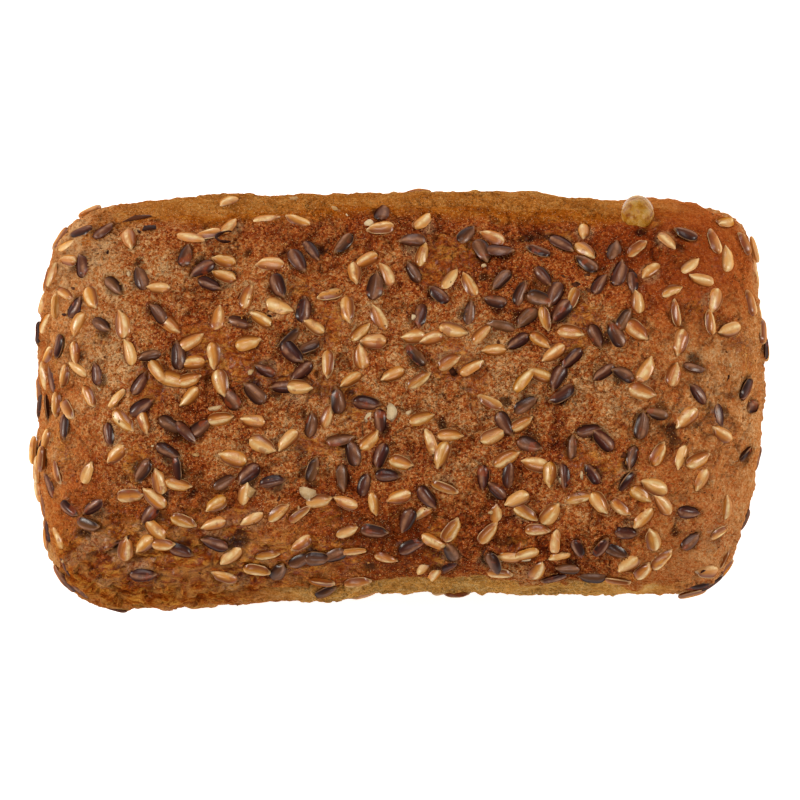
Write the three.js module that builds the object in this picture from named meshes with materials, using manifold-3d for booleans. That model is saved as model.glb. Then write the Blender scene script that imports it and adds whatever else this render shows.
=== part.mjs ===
// An oblong seeded bread roll of one piece: a domed top, low bulging sides, a flat base,
// and linseeds baked into the skin of the top and of the two ends.
// Millimetres, +Z up. The length runs along X. The origin is under the middle of the roll, on its base.

import * as THREE from "three";
import { mergeVertices } from "three/addons/utils/BufferGeometryUtils.js";
import Module from "manifold-3d";

// The roll without its seeds
const rollLength = 133.3;
const rollWidth = 74.4;
const rollHeight = 46;
const bellyHeight = 19; // height of the widest contour
const crownRise = 2.4; // how far the middle of the top stands above the plateau's ends
const shoulderReach = 30; // how far in from the widest contour the top starts to fall
const shoulderSquareness = 2.6; // 2 is an ellipse in section, more is boxier
const plateauCorner = 2.2; // exponent of the plan's corners on top
const bellyCorner = 4.2; // exponent of the plan's corners at the widest contour
const sideLevel = 0.8; // level at which the side rows take over from the top's grid
const footInset = 7;
const footSquareness = 2.8;

// Where the plan departs from a rounded rectangle: degrees from +X, millimetres outwards, spread in degrees
const swells = [
  { at: -21, by: -1.7, spread: 8 },
  { at: -38, by: -3.5, spread: 28 }, // the corner that is cut away
  { at: -70, by: -2.0, spread: 26 },
  { at: -96, by: -1.5, spread: 17 },
  { at: -142, by: 2.5, spread: 9 }, // the corner that is drawn out
  { at: -178, by: -0.9, spread: 7 },
  { at: 152, by: -1.9, spread: 19 },
  { at: 85, by: 1.6, spread: 28 },
  { at: 40, by: -2.3, spread: 8 },
  { at: 19, by: -1.9, spread: 8 },
];

// Unevenness of the skin: the size and the depth of its lumps
const lumps = [
  { size: 27, depth: 1.5 },
  { size: 11, depth: 0.8 },
];
const baseFade = 7; // the lumps die out over this height above the base

// The crease under the top skin, along both long sides
const creaseInset = 2.8;
const creaseDepth = 0.55;
const creaseWidth = 1.1;
const creaseWander = 0.9;
const creaseWave = 15; // size of the crease's wander
const creaseFade = [0.7, 0.88]; // the crease dies out between these shares of the half length
const creaseRows = { back: 40, front: 80 }; // the row of the noise that each side's crease follows

// Grid of the skin
const lengthCells = 28;
const widthCells = 15;
const sideRows = 8;
const footCrowding = 1.7; // how much closer the rows are near the foot
const baseSunk = 2; // the part that is cut off to make the base flat
const sectionSteps = 80; // of the side's section
const slopeStep = 0.4; // apart from each other are the places that tell which way the skin faces

// The seeds
const seedLength = 4.8;
const seedSpread = 0.1; // share by which a seed's size varies
const seedSlimness = 0.48; // width as a share of length
const seedThickness = 1.7; // half of it is sunk in the skin
const seedSides = 8;
const seedTaper = 0.3; // how much slimmer the tip's half is
const seedLean = 0.1; // most that a seed tips from lying flat, in radians
const seedGap = 2.7; // least distance between the middles of two seeds
const seedTries = 2050;
const seedsInSolid = 225; // the largest ones, none of them over another
const solidGap = 4.1;
const seedDraw = 20811;
const coverage = 0.86; // chance that a place of the top takes a seed
const patches = { size: 13, swing: 0.22, layer: 7 }; // where the seeds lie closer or wider
const endWrap = 25; // how far seeds go down over the shoulder of an end
const endCoverage = [0.7, 0.25]; // at the shoulder and at the end of the wrap
const thinEnd = { from: 40, to: 62, share: 0.45 }; // fewer seeds towards the end at +X
const bareCorner = { over: -48, up: -35, long: 17, wide: 9, share: 0.85 };
const strayChance = 0.015; // of a seed on the bare part of a long side
const bareStripBack = 4.3; // the long sides' bare strips, in from the widest contour
const bareStripFront = 2.9;

// A bubble of skin near the back edge
const blister = { over: 44.3, up: 34, lift: 0.4, sizes: [6, 7.6, 6.6], sides: 10, rows: 6 };

const halfLength = rollLength / 2;
const halfWidth = rollWidth / 2;
const dome = rollHeight - crownRise - bellyHeight; // from the widest contour to the plateau
const lerp = THREE.MathUtils.lerp;
const smooth = THREE.MathUtils.smoothstep;

// A number from 0 to 1 for each point of a whole-number lattice
function latticeValue(i, j, k) {
  let bits = Math.imul(i, 374761393) + Math.imul(j, 668265263) + Math.imul(k, 1440662683);
  bits = Math.imul(bits ^ (bits >>> 13), 1274126177);
  return ((bits ^ (bits >>> 16)) >>> 0) / 4294967296;
}

// Smooth noise from -1 to 1
function noise(x, y, z) {
  const [i, j, k] = [x, y, z].map(Math.floor);
  const [u, v, w] = [x - i, y - j, z - k].map((t) => t * t * (3 - 2 * t));
  const edge = (a, b) => lerp(latticeValue(i, a, b), latticeValue(i + 1, a, b), u);
  const face = (b) => lerp(edge(j, b), edge(j + 1, b), v);
  return 2 * lerp(face(k), face(k + 1), w) - 1;
}

// The same draws in the same order, whoever runs this
function drawsFrom(seed) {
  let state = seed;
  return () => {
    state = (state + 0x6d2b79f5) | 0;
    let bits = Math.imul(state ^ (state >>> 15), state | 1);
    bits ^= bits + Math.imul(bits ^ (bits >>> 7), bits | 61);
    return ((bits ^ (bits >>> 14)) >>> 0) / 4294967296;
  };
}

// 0 on the plateau of the top, 1 on the widest contour
function levelOf(x, y) {
  const along = Math.max(0, 1 - (halfLength - Math.abs(x)) / shoulderReach);
  const across = Math.max(0, 1 - (halfWidth - Math.abs(y)) / shoulderReach);
  const rough = Math.min(1, Math.cbrt(along ** 3 + across ** 3));
  const corner = lerp(plateauCorner, bellyCorner, rough * rough);
  return (along ** corner + across ** corner) ** (1 / corner);
}

// Distance from the middle to a level's contour
function radiusAt(angle, level) {
  let [inner, outer] = [0, rollLength];
  for (let halving = 0; halving < 30; halving++) {
    const middle = (inner + outer) / 2;
    if (levelOf(middle * Math.cos(angle), middle * Math.sin(angle)) < level) inner = middle;
    else outer = middle;
  }
  return inner;
}

// A vertical section of the side, from the shoulder over the belly to the foot, with the distance walked
function sideSection() {
  const shoulderTurn = Math.asin(sideLevel ** (shoulderSquareness / 2));
  const section = [];
  for (let i = 0; i <= sectionSteps; i++) {
    const turn = lerp(shoulderTurn, Math.PI, i / sectionSteps);
    const above = turn <= Math.PI / 2;
    const sine = Math.abs(Math.sin(turn));
    const cosine = Math.abs(Math.cos(turn));
    const level = above ? sine ** (2 / shoulderSquareness) : 1;
    const [sineShare, cosineShare] = [sine, cosine].map((share) => share ** (2 / footSquareness));
    const inset = above ? shoulderReach * (1 - level) : footInset * (1 - sineShare);
    const rise = above ? dome * cosine ** (2 / shoulderSquareness) : -bellyHeight * cosineShare;
    const last = section.at(-1);
    const walked = last ? last.walked + Math.hypot(inset - last.inset, rise - last.rise) : 0;
    section.push({ level, inset, rise, walked, above });
  }
  return section;
}

const section = sideSection();
const footWalk = section.at(-1).walked;
const walkAtInset = (inset) => section.find((point) => point.inset <= inset).walked;
const creaseWalk = walkAtInset(creaseInset);

function onSection(walked) {
  const next = section.findIndex((point) => point.walked >= walked);
  if (next <= 0) return next < 0 ? section.at(-1) : section[0];
  const [a, b] = [section[next - 1], section[next]];
  const share = (walked - a.walked) / (b.walked - a.walked);
  return {
    level: lerp(a.level, b.level, share),
    inset: lerp(a.inset, b.inset, share),
    rise: lerp(a.rise, b.rise, share),
    above: b.above,
  };
}

function swellAt(angle) {
  const degrees = THREE.MathUtils.radToDeg(angle);
  return swells.reduce((sum, { at, by, spread }) => {
    const off = THREE.MathUtils.euclideanModulo(degrees - at + 180, 360) - 180;
    return sum + by * Math.exp(-((off / spread) ** 2));
  }, 0);
}

// The smooth roll. (over, up) is a place on its skin laid flat, as seen from above:
// past the shoulder it counts the distance walked down the side.
function formPoint(over, up) {
  const angle = Math.atan2(up, over);
  const reach = Math.hypot(over, up);
  const shoulder = radiusAt(angle, sideLevel);
  const widest = radiusAt(angle, 1);
  let [radius, rise, level] = [reach, 0, 0];
  if (reach <= shoulder) {
    level = levelOf(over, up);
    rise = dome * (1 - level ** shoulderSquareness) ** (1 / shoulderSquareness);
  } else {
    const side = onSection(reach - shoulder);
    ({ level, rise } = side);
    radius = side.above ? radiusAt(angle, level) : widest - side.inset;
  }
  const alongRoll = (radius * Math.cos(angle)) / halfLength;
  const crown = crownRise * (1 - level * level) * Math.cos((Math.PI / 2) * alongRoll);
  const swollen = radius + swellAt(angle) * (radius / widest) ** 2;
  const [x, y] = [swollen * Math.cos(angle), swollen * Math.sin(angle)];
  return new THREE.Vector3(x, y, bellyHeight + rise + crown);
}

// How deep the crease is at a place of the skin
function creaseAt(over, up) {
  const angle = Math.atan2(up, over);
  const walked = Math.hypot(over, up) - radiusAt(angle, sideLevel);
  const row = up > 0 ? creaseRows.back : creaseRows.front;
  const line = creaseWalk + creaseWander * noise(over / creaseWave, row, 0);
  const along = 1 - smooth(Math.abs(over) / halfLength, ...creaseFade);
  return creaseDepth * along * Math.exp(-(((walked - line) / creaseWidth) ** 2));
}

// A place of the baked skin, with the way out of it
function skinAt(over, up) {
  const along = formPoint(over + slopeStep, up).sub(formPoint(over - slopeStep, up));
  const across = formPoint(over, up + slopeStep).sub(formPoint(over, up - slopeStep));
  const normal = along.cross(across).normalize();
  const point = formPoint(over, up);
  const bumps = lumps.reduce(
    (sum, { size, depth }) => sum + depth * noise(point.x / size + size, point.y / size, point.z / size),
    0,
  );
  const relief = (bumps - creaseAt(over, up)) * smooth(point.z, 0, baseFade);
  return { point: point.addScaledVector(normal, relief), normal };
}

function welded(geometry) {
  geometry.deleteAttribute("normal");
  geometry.deleteAttribute("uv");
  return mergeVertices(geometry, 1e-4);
}

// Three rows of the side follow the crease, and the rest crowd towards the foot
const rowWalks = [0, creaseWalk - creaseWidth, creaseWalk, creaseWalk + creaseWidth];
const rowsBelow = sideRows + 1 - rowWalks.length;
for (let row = 1; row <= rowsBelow; row++) {
  const share = 1 - (1 - row / rowsBelow) ** footCrowding;
  rowWalks.push(lerp(creaseWalk + creaseWidth, footWalk, share));
}

// The skin and the base, as a box of small cells whose corners are moved to their places
function rollGeometry() {
  const geometry = welded(new THREE.BoxGeometry(2, 2, 2, lengthCells, widthCells, sideRows));
  const corners = geometry.getAttribute("position");
  for (let i = 0; i < corners.count; i++) {
    const [x, y, z] = [corners.getX(i), corners.getY(i), corners.getZ(i)];
    const angle = Math.atan2(y * halfWidth, x * halfLength);
    const share = Math.max(Math.abs(x), Math.abs(y));
    const shoulder = radiusAt(angle, sideLevel);
    const row = Math.round(((1 - z) / 2) * sideRows);
    const reach = row === 0 ? share * shoulder : shoulder + rowWalks[row];
    const place = skinAt(reach * Math.cos(angle), reach * Math.sin(angle)).point;
    if (row === sideRows) place.set(place.x * share, place.y * share, -baseSunk);
    corners.setXYZ(i, place.x, place.y, place.z);
  }
  return geometry;
}

// How likely a place of the skin is to hold a seed
function seedChance(over, up) {
  const angle = Math.atan2(up, over);
  const walked = Math.hypot(over, up) - radiusAt(angle, sideLevel);
  const onLongSide = Math.abs(over) < halfLength - shoulderReach / 3;
  const bareWalk = walkAtInset(up > 0 ? bareStripBack : bareStripFront);
  if (walked > endWrap) return 0;
  if (onLongSide && walked > bareWalk) return strayChance;
  const down = walked > 0 ? lerp(...endCoverage, walked / endWrap) : 1;
  const { long, wide } = bareCorner;
  const off = ((over - bareCorner.over) / long) ** 2 + ((up - bareCorner.up) / wide) ** 2;
  const bare = bareCorner.share * Math.exp(-off);
  const thinned = thinEnd.share * smooth(over, thinEnd.from, thinEnd.to);
  const patch = patches.swing * noise(over / patches.size, up / patches.size, patches.layer);
  return down * (coverage + patch) * (1 - bare) * (1 - thinned);
}

// Each seed is a place on the skin laid flat, a turn, a size and a lean
function strewnSeeds() {
  const draw = drawsFrom(seedDraw);
  const seeds = [];
  for (let i = 0; i < seedTries; i++) {
    const over = (2 * draw() - 1) * (halfLength + endWrap);
    const up = (2 * draw() - 1) * (halfWidth + endWrap);
    const turn = draw() * 2 * Math.PI;
    const size = seedLength * (1 + seedSpread * (2 * draw() - 1));
    const lean = [draw(), draw()].map((share) => seedLean * (2 * share - 1));
    const kept = draw() < seedChance(over, up);
    const free = seeds.every((seed) => Math.hypot(seed.over - over, seed.up - up) > seedGap);
    if (kept && free) seeds.push({ over, up, turn, size, lean });
  }
  return seeds;
}

// A seed that lies along X with its tip at +X: a flattened drop of few faces
function seedGeometry(size) {
  const geometry = welded(new THREE.SphereGeometry(0.5, seedSides, 2).rotateX(Math.PI / 2));
  const corners = geometry.getAttribute("position");
  for (let i = 0; i < corners.count; i++) {
    const slim = 1 - seedTaper * 2 * corners.getX(i);
    corners.setY(i, corners.getY(i) * slim);
  }
  return geometry.scale(size, size * seedSlimness, seedThickness);
}

// Where a thing sits on the cells of the skin, which are coarser than the skin that they follow
function seatOnRoll(over, up, turn, roll) {
  const { point, normal } = skinAt(over, up);
  const start = point.clone().addScaledVector(normal, seedLength);
  const [hit] = new THREE.Raycaster(start, normal.clone().negate()).intersectObject(roll);
  const heading = new THREE.Vector3(Math.cos(turn), Math.sin(turn), 0);
  const across = new THREE.Vector3().crossVectors(hit.face.normal, heading).normalize();
  const along = new THREE.Vector3().crossVectors(across, hit.face.normal);
  return new THREE.Matrix4().makeBasis(along, across, hit.face.normal).setPosition(hit.point);
}

function blisterOnRoll(roll) {
  const { over, up, lift, sizes, sides, rows } = blister;
  const ball = new THREE.SphereGeometry(0.5, sides, rows).rotateX(Math.PI / 2).scale(...sizes);
  return welded(ball.translate(0, 0, lift)).applyMatrix4(seatOnRoll(over, up, 0, roll));
}

function seedOnRoll({ over, up, turn, size, lean }, roll) {
  const seat = seatOnRoll(over, up, turn, roll);
  seat.multiply(new THREE.Matrix4().makeRotationFromEuler(new THREE.Euler(lean[0], lean[1], 0)));
  return seedGeometry(size).applyMatrix4(seat);
}

const wasm = await Module();
wasm.setup();

function toSolid(geometry) {
  const vertProperties = geometry.getAttribute("position").array;
  const triVerts = new Uint32Array(geometry.index.array);
  return new wasm.Manifold(new wasm.Mesh({ numProp: 3, vertProperties, triVerts }));
}

function toGeometry(solid) {
  const mesh = solid.getMesh();
  return new THREE.BufferGeometry()
    .setAttribute("position", new THREE.BufferAttribute(mesh.vertProperties, 3))
    .setIndex(new THREE.BufferAttribute(mesh.triVerts, 1));
}

function seededRoll() {
  const largest = [];
  for (const seed of strewnSeeds().sort((a, b) => b.size - a.size)) {
    const away = largest.map((other) => Math.hypot(other.over - seed.over, other.up - seed.up));
    if (largest.length < seedsInSolid && away.every((gap) => gap > solidGap)) largest.push(seed);
  }
  const bare = new THREE.Mesh(rollGeometry());
  const seeds = largest.map((seed) => seedOnRoll(seed, bare));
  const topped = wasm.Manifold.union([bare.geometry, ...seeds, blisterOnRoll(bare)].map(toSolid));
  const room = [rollLength, rollWidth, rollHeight].map((side) => 2 * side);
  const aboveBase = new THREE.BoxGeometry(...room).translate(0, 0, room[2] / 2);
  const geometry = toGeometry(topped.intersect(toSolid(welded(aboveBase))));
  geometry.computeBoundingBox();
  const middle = geometry.boundingBox.getCenter(new THREE.Vector3());
  return geometry.translate(-middle.x, -middle.y, 0);
}

const crust = new THREE.MeshStandardMaterial({ color: 0x9c5c2e, roughness: 0.7, metalness: 0 });
const breadRoll = new THREE.Mesh(seededRoll(), crust);
breadRoll.name = "bread_roll";

const group = new THREE.Group();
group.add(breadRoll);
export default group;
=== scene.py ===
"""The looks of an oblong seeded bread roll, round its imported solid.

The form of the skin and the draw of the seeds follow the same rules as the solid. Lengths in the rules are
millimetres, with +Z up, and are turned into metres where meshes are made.
"""

import math

import bmesh
import bpy
import numpy as np
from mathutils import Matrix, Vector


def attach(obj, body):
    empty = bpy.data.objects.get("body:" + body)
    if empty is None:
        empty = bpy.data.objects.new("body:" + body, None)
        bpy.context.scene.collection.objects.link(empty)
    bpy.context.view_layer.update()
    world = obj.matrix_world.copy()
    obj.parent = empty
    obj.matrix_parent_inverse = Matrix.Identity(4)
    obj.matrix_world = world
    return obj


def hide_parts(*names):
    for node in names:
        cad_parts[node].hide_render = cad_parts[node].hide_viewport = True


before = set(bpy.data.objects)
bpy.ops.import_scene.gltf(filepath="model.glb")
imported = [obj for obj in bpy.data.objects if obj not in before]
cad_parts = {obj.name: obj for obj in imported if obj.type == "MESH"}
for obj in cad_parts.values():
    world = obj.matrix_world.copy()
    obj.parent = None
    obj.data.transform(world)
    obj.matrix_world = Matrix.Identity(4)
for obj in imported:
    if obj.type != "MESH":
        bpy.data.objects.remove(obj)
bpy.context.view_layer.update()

# The form of the roll, as in the solid
ROLL_LENGTH = 133.3
ROLL_WIDTH = 74.4
ROLL_HEIGHT = 46
BELLY_HEIGHT = 19
CROWN_RISE = 2.4
SHOULDER_REACH = 30
SHOULDER_SQUARENESS = 2.6
PLATEAU_CORNER = 2.2
BELLY_CORNER = 4.2
SIDE_LEVEL = 0.8
FOOT_INSET = 7
FOOT_SQUARENESS = 2.8
SWELLS = [  # degrees from +X, millimetres outwards, spread in degrees
    (-21, -1.7, 8),
    (-38, -3.5, 28),
    (-70, -2, 26),
    (-96, -1.5, 17),
    (-142, 2.5, 9),
    (-178, -0.9, 7),
    (152, -1.9, 19),
    (85, 1.6, 28),
    (40, -2.3, 8),
    (19, -1.9, 8),
]
LUMPS = [(27, 1.5), (11, 0.8)]
BASE_FADE = 7
CREASE_INSET = 2.8
CREASE_DEPTH = 0.55
CREASE_WIDTH = 1.1
CREASE_WANDER = 0.9
CREASE_WAVE = 15
CREASE_FADE = (0.7, 0.88)  # the crease dies out between these shares of the half length
CREASE_ROWS = (40, 80)  # the row of the noise that the crease follows, at the back and at the front
SECTION_STEPS = 80
SLOPE_STEP = 0.4
HALVINGS = 30  # of the stretch in which a contour is looked for
HALF_LENGTH = ROLL_LENGTH / 2
HALF_WIDTH = ROLL_WIDTH / 2
DOME = ROLL_HEIGHT - CROWN_RISE - BELLY_HEIGHT
MIDDLE = np.array([0.381, 0.035, 0])  # the middle of the solid's bounding box

# The seeds, as in the solid
SEED_LENGTH = 4.8
SEED_SPREAD = 0.1
SEED_SLIMNESS = 0.48
SEED_LEAN = 0.1
SEED_GAP = 2.7
SEED_TRIES = 2050
SEED_DRAW = 20811
COVERAGE = 0.86
PATCHES = {"size": 13, "swing": 0.22, "layer": 7}
END_WRAP = 25
END_COVERAGE = (0.7, 0.25)
THIN_END = {"start": 40, "end": 62, "share": 0.45}
BARE_CORNER = (-48, -35, 17, 9, 0.85)  # over, up, reach along and across, share of the seeds that is missing
STRAY_CHANCE = 0.015
BARE_STRIP_BACK = 4.3
BARE_STRIP_FRONT = 2.9
BLISTER_PLACE = (44.3, 34)
BLISTER_LIFT = 0.4
BLISTER_SIZES = (6, 7.6, 6.6)

# What only the scene has
SCENE_DRAW = 7
GOLDEN_SHARE = 0.6  # of the seeds
ROLLED_SHARE = 0.15  # of the seeds lie on an edge
SEED_THICKNESS = {"golden": 1.45, "brown": 1.3}
SEED_WIDTHS = (1, 1.24)  # times the width of the solid's seeds
SEED_DOMES = (0.8, 1.15)  # times the thickness
SEED_BOW = 0.35
SEED_HOOK = 0.5
GROOVE_DEPTH = 0.5
GROOVE_WIDTH = 0.16
ROLLED_TILT = (0.45, 0.95)  # radians
FLAT_TILT = (-0.22, 0.22)
SEAT_STEP = 1.4  # how far round a seed the slope of the skin is measured
SEED_RISE = (-0.5, 0.3)
CROWD = {"gap": 3.4, "lift": 0.4}  # a seed closer than the gap to an earlier one lies higher
BED_DEPTH = 0.25
LIP_HEIGHT = 0.55
LIP_AT = 1.12  # from a seed's middle, as a share of the way to its edge
LIP_WIDTH = 0.17
SPOT_REACH = (0.3, 1.4)  # from a seed's middle to the stain beside it
WRINKLED_CORNER = (-42, -31, 26, 9, 1.5)  # over, up, reach along and across, how strongly
FINE_LUMPS = [(0.6, 5.4, 1), (0.4, 2.7, 2), (0.28, 1.35, 3), (0.2, 0.75, 7)]  # height, size and layer
GRIT_DEPTH = 0.4
GRIT_SIZE = 1.15
CRACK_DEPTH = 0.6
PIT_DEPTH = 0.7
PIT_SPACING = 4.2
PIT_SHARE = 0.25  # of the dots strewn that far apart
LENGTH_CELLS = 372  # the grid of the fine skin
WIDTH_CELLS = 192
VISIBLE_ROW = 0.45  # height of a row of cells down to just under the belly
HIDDEN_ROW = 1.1
ROWS_PAST_BELLY = 4  # millimetres
BASE_RINGS = 12
SEED_ROWS = 17
SEED_TOP = (-1, -0.93, -0.8, -0.58, -0.3, 0, 0.3, 0.58, 0.8, 0.93, 1)  # places across a seed's upper face
SEED_UNDER = (0.9, 0.45, -0.45, -0.9)
SEED_KEEL = 0.93  # where the dome of a seed ends and its thin edge starts

# The photo and its light
PICTURE_PIXELS = 800
PIXELS_PER_MM = 5.45  # at the height of the belly
PICTURE_WIDTH = PICTURE_PIXELS / PIXELS_PER_MM
CAMERA_HEIGHT = 1100
SENSOR_WIDTH = 36
WARM = (1, 0.94, 0.86)
NEUTRAL = (1, 1, 1)
LAMPS = [  # name, place and size in metres, power in watts, colour
    ("left_lamp", (-0.68, 0.08, 0.5), 0.16, 3.05, WARM),
    ("right_lamp", (0.68, 0.08, 0.5), 0.16, 2.3, WARM),
    ("back_lamp", (0, 0.7, 1), 0.4, 2.2, NEUTRAL),
    ("front_lamp", (0, -0.7, 1), 0.4, 2.1, NEUTRAL),
    ("top_lamp", (-0.1, 0.3, 1.2), 0.25, 1.4, NEUTRAL),
    ("base_lamp", (0.5, -0.6, -0.9), 0.4, 7, NEUTRAL),
]
LAMP_TARGET = (0, 0, 0.02)
WORLD_LIGHT = 0.1
FLOOR_GLOW = 0.8
FLOOR_REACH = 2  # metres from the roll to each side of the floor
FLOOR_LEVEL = 0.0002  # metres above the base, so that a view from below shows the base and not the floor

METRES = 0.001
LATTICE_PRIMES = [np.uint32(prime) for prime in (374761393, 668265263, 1440662683)]
LATTICE_MIX = np.uint32(1274126177)
WORD = 0xFFFFFFFF


def lerp(start, end, share):
    return start + (end - start) * share


def smooth(value, low, high):
    share = np.clip((value - low) / (high - low), 0, 1)
    return share * share * (3 - 2 * share)


def lattice_value(i, j, k):
    """A number from 0 to 1 for each point of a whole-number lattice."""
    bits = i * LATTICE_PRIMES[0] + j * LATTICE_PRIMES[1] + k * LATTICE_PRIMES[2]
    bits = (bits ^ (bits >> np.uint32(13))) * LATTICE_MIX
    return (bits ^ (bits >> np.uint32(16))) / (WORD + 1)


def lattice_cells(*coordinates):
    """The lattice cell of each point, and where in the cell the point is."""
    spread = np.broadcast_arrays(*[np.atleast_1d(np.asarray(c, float)) for c in coordinates])
    floors = [np.floor(c) for c in spread]
    cells = [f.astype(np.int64).astype(np.uint32) for f in floors]
    return cells, [c - f for c, f in zip(spread, floors)]


def noise(x, y, z):
    """Smooth noise from -1 to 1, the same as in the solid."""
    (i, j, k), shares = lattice_cells(x, y, z)
    u, v, w = [smooth(share, 0, 1) for share in shares]
    one = np.uint32(1)

    def edge(a, b):
        return lerp(lattice_value(i, a, b), lattice_value(i + one, a, b), u)

    def face(b):
        return lerp(edge(j, b), edge(j + one, b), v)

    return 2 * lerp(face(k), face(k + one), w) - 1


def tilted_noise(points, size, layer):
    """Noise whose lattice is turned, so that its grid doesn't show. layer tells one noise from another."""
    turn = 0.7 + 1.9 * layer
    c, s = math.cos(turn), math.sin(turn)
    x, y, z = points.T / size
    x, y = c * x - s * y, s * x + c * y
    y, z = 0.8 * y - 0.6 * z, 0.6 * y + 0.8 * z
    return noise(x + 31.7 * layer, y - 17.3 * layer, z)


def nearest_grain(points, size, layer):
    """The way to the nearest of many strewn dots, in cells, its length, and how much farther the next dot is.

    The dot's own number, from 0 to 1, comes last.
    """
    x, y, z = points.T / size
    cells, shares = lattice_cells(x + 13 * layer, y + 7 * layer, z)
    best = np.full((len(points), 3), 9.0)
    nearest, second, number = [np.full(len(points), 9.0) for _ in range(3)]
    for step in np.ndindex(3, 3, 3):
        shift = np.array(step) - 1
        at = [cell + np.uint32(s & WORD) for cell, s in zip(cells, shift.tolist())]
        spots = [lattice_value(at[0], at[1] + np.uint32(101 * a), at[2]) for a in range(1, 4)]
        way = np.stack([s + spot - share for s, spot, share in zip(shift, spots, shares)], axis=-1)
        away = np.linalg.norm(way, axis=1)
        second = np.minimum(second, np.maximum(away, nearest))
        closer = away < nearest
        nearest = np.where(closer, away, nearest)
        best[closer] = way[closer]
        number = np.where(closer, lattice_value(*at), number)
    return best, nearest, second - nearest, number


def draws(seed, count):
    """Draws from 0 to 1, the same as in the solid."""
    state, values = seed, []
    for _ in range(count):
        state = (state + 0x6D2B79F5) & WORD
        bits = ((state ^ (state >> 15)) * (state | 1)) & WORD
        bits ^= (bits + (((bits ^ (bits >> 7)) * (bits | 61)) & WORD)) & WORD
        values.append((bits ^ (bits >> 14)) / (WORD + 1))
    return np.array(values)


def level_of(x, y):
    """0 on the plateau of the top, 1 on the widest contour."""
    along = np.maximum(0, 1 - (HALF_LENGTH - np.abs(x)) / SHOULDER_REACH)
    across = np.maximum(0, 1 - (HALF_WIDTH - np.abs(y)) / SHOULDER_REACH)
    rough = np.minimum(1, np.cbrt(along**3 + across**3))
    corner = lerp(PLATEAU_CORNER, BELLY_CORNER, rough * rough)
    return (along**corner + across**corner) ** (1 / corner)


def radius_at(angle, level):
    """Distance from the middle to a level's contour."""
    inner, outer = np.zeros_like(angle), np.full_like(angle, ROLL_LENGTH)
    for _ in range(HALVINGS):
        middle = (inner + outer) / 2
        inside = level_of(middle * np.cos(angle), middle * np.sin(angle)) < level
        inner, outer = np.where(inside, middle, inner), np.where(inside, outer, middle)
    return inner


def side_section():
    """The side from the shoulder over the belly to the foot: level, inset, rise and distance walked."""
    shoulder_turn = math.asin(SIDE_LEVEL ** (SHOULDER_SQUARENESS / 2))
    turn = lerp(shoulder_turn, math.pi, np.arange(SECTION_STEPS + 1) / SECTION_STEPS)
    above = turn <= math.pi / 2
    sine, cosine = np.abs(np.sin(turn)), np.abs(np.cos(turn))
    level = np.where(above, sine ** (2 / SHOULDER_SQUARENESS), 1)
    under = FOOT_INSET * (1 - sine ** (2 / FOOT_SQUARENESS))
    inset = np.where(above, SHOULDER_REACH * (1 - level), under)
    over_belly = DOME * cosine ** (2 / SHOULDER_SQUARENESS)
    rise = np.where(above, over_belly, -BELLY_HEIGHT * cosine ** (2 / FOOT_SQUARENESS))
    walked = np.concatenate([[0], np.cumsum(np.hypot(np.diff(inset), np.diff(rise)))])
    return level, inset, rise, walked, walked[above][-1]


SECTION_LEVEL, SECTION_INSET, SECTION_RISE, SECTION_WALK, BELLY_WALK = side_section()
FOOT_WALK = SECTION_WALK[-1]


def walk_at_inset(inset):
    return SECTION_WALK[np.argmax(SECTION_INSET <= inset)]


CREASE_WALK = walk_at_inset(CREASE_INSET)


def swell_at(angle):
    degrees = np.degrees(angle)
    total = np.zeros_like(degrees)
    for at, by, spread in SWELLS:
        off = (degrees - at + 180) % 360 - 180
        total += by * np.exp(-((off / spread) ** 2))
    return total


def form_point(over, up):
    """The smooth roll. (over, up) is a place on its skin laid flat, with the side folded out."""
    angle, reach = np.arctan2(up, over), np.hypot(over, up)
    shoulder, widest = radius_at(angle, SIDE_LEVEL), radius_at(angle, 1)
    on_top = reach <= shoulder
    walked = reach - shoulder
    side_level = np.interp(walked, SECTION_WALK, SECTION_LEVEL)
    side_inset = np.interp(walked, SECTION_WALK, SECTION_INSET)
    side_radius = np.where(walked <= BELLY_WALK, radius_at(angle, side_level), widest - side_inset)
    level = np.where(on_top, level_of(over, up), side_level)
    top_rise = DOME * (1 - np.minimum(level, 1) ** SHOULDER_SQUARENESS) ** (1 / SHOULDER_SQUARENESS)
    rise = np.where(on_top, top_rise, np.interp(walked, SECTION_WALK, SECTION_RISE))
    radius = np.where(on_top, reach, side_radius)
    crown = CROWN_RISE * (1 - level**2) * np.cos(math.pi / 2 * radius * np.cos(angle) / HALF_LENGTH)
    swollen = radius + swell_at(angle) * (radius / widest) ** 2
    return np.stack([swollen * np.cos(angle), swollen * np.sin(angle), BELLY_HEIGHT + rise + crown], axis=-1)


def walk_of(over, up):
    """Distance down the side from the shoulder, below 0 on the top."""
    return np.hypot(over, up) - radius_at(np.arctan2(up, over), SIDE_LEVEL)


def crease_share(over):
    return 1 - smooth(np.abs(over) / HALF_LENGTH, *CREASE_FADE)


def crease_line(over, up):
    return CREASE_WALK + CREASE_WANDER * noise(over / CREASE_WAVE, np.where(up > 0, *CREASE_ROWS), 0)


def unit(vectors):
    return vectors / np.linalg.norm(vectors, axis=-1, keepdims=True)


def way_out(surface, over, up, step):
    """The direction out of a surface, from how it slopes a step to each side."""
    along = surface(over + step, up) - surface(over - step, up)
    across = surface(over, up + step) - surface(over, up - step)
    return unit(np.cross(along, across))


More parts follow.
